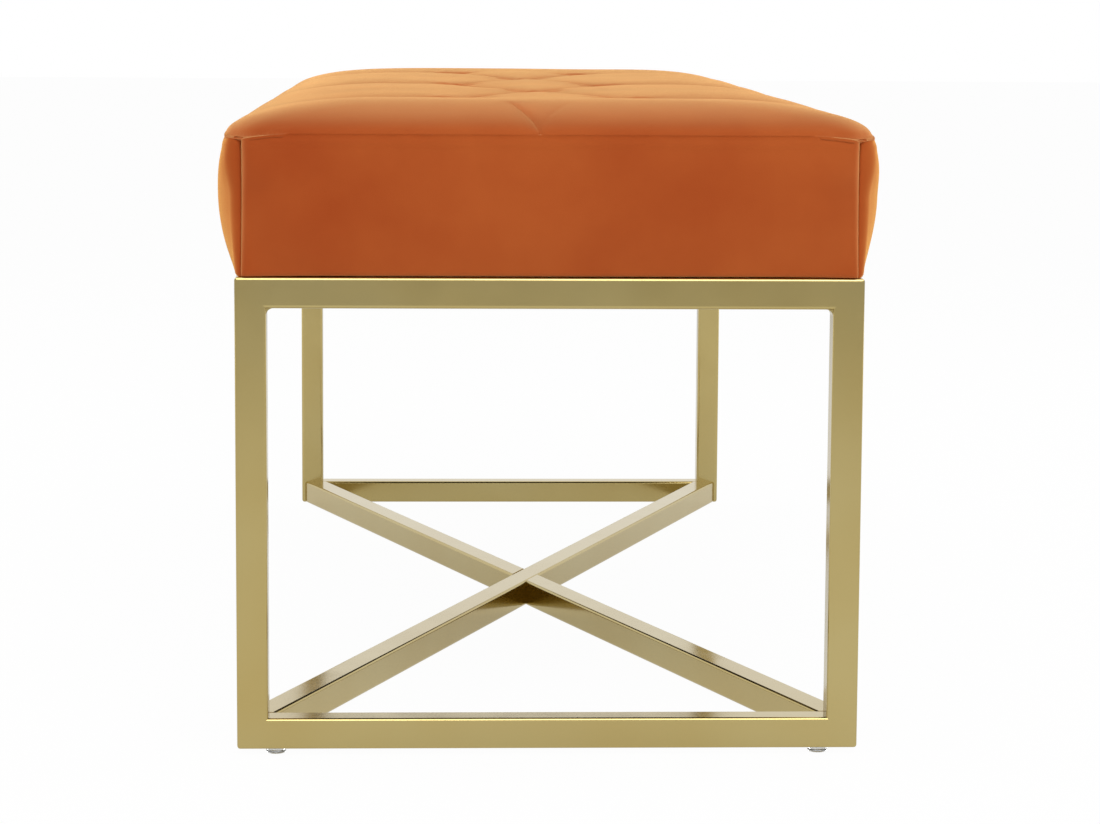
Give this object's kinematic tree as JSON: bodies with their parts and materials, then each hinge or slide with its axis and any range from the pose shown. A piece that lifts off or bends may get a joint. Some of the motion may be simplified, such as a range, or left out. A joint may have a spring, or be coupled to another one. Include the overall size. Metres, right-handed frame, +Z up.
{
  "type": "upholstered bench",
  "caption": "Long bench with a boxed, diamond-tufted velvet cushion on a welded square-tube frame: rectangular end frames joined by an X brace at floor level.",
  "frame": {"origin": "on the floor under the middle of the bench", "axes": "+Z up, +Y along the length from the near end to the far end, +X across the width to the right as seen from the near end"},
  "size_m": [0.4646, 1.1644, 0.4635],
  "materials": {
    "gold_steel": "satin champagne gold over welded steel tube",
    "clear_plastic": "clear moulded plastic",
    "velvet": "short-pile orange velvet",
    "foam": "upholstery foam",
    "plywood": "birch plywood",
    "dust_cloth": "black non-woven dust cover",
    "zinc_steel": "zinc plated",
    "twine": "waxed tufting twine"
  },
  "bodies": {
    "root": {"dust_cover": "dust_cloth", "far_end_panel": "velvet", "far_floor_rail": "gold_steel", "far_half_brace": "gold_steel", "far_left_foot": "clear_plastic", "far_left_gusset": "gold_steel", "far_left_post": "gold_steel", "far_right_foot": "clear_plastic", "far_right_gusset": "gold_steel", "far_right_post": "gold_steel", "far_top_rail": "gold_steel", "floor_brace": "gold_steel", "foam_block": "foam", "left_side_panel": "velvet", "left_side_rail": "gold_steel", "near_end_panel": "velvet", "near_floor_rail": "gold_steel", "near_half_brace": "gold_steel", "near_left_foot": "clear_plastic", "near_left_gusset": "gold_steel", "near_left_post": "gold_steel", "near_right_foot": "clear_plastic", "near_right_gusset": "gold_steel", "near_right_post": "gold_steel", "near_top_rail": "gold_steel", "right_side_panel": "velvet", "right_side_rail": "gold_steel", "seat_board": "plywood", "seat_screws": "zinc_steel", "seat_strap": "gold_steel", "seat_tee_nuts": "zinc_steel", "seat_washers": "zinc_steel", "tuft_twines": "twine", "tuft_washers": "zinc_steel", "tufted_top_panel": "velvet"}
  },
  "joints": []
}
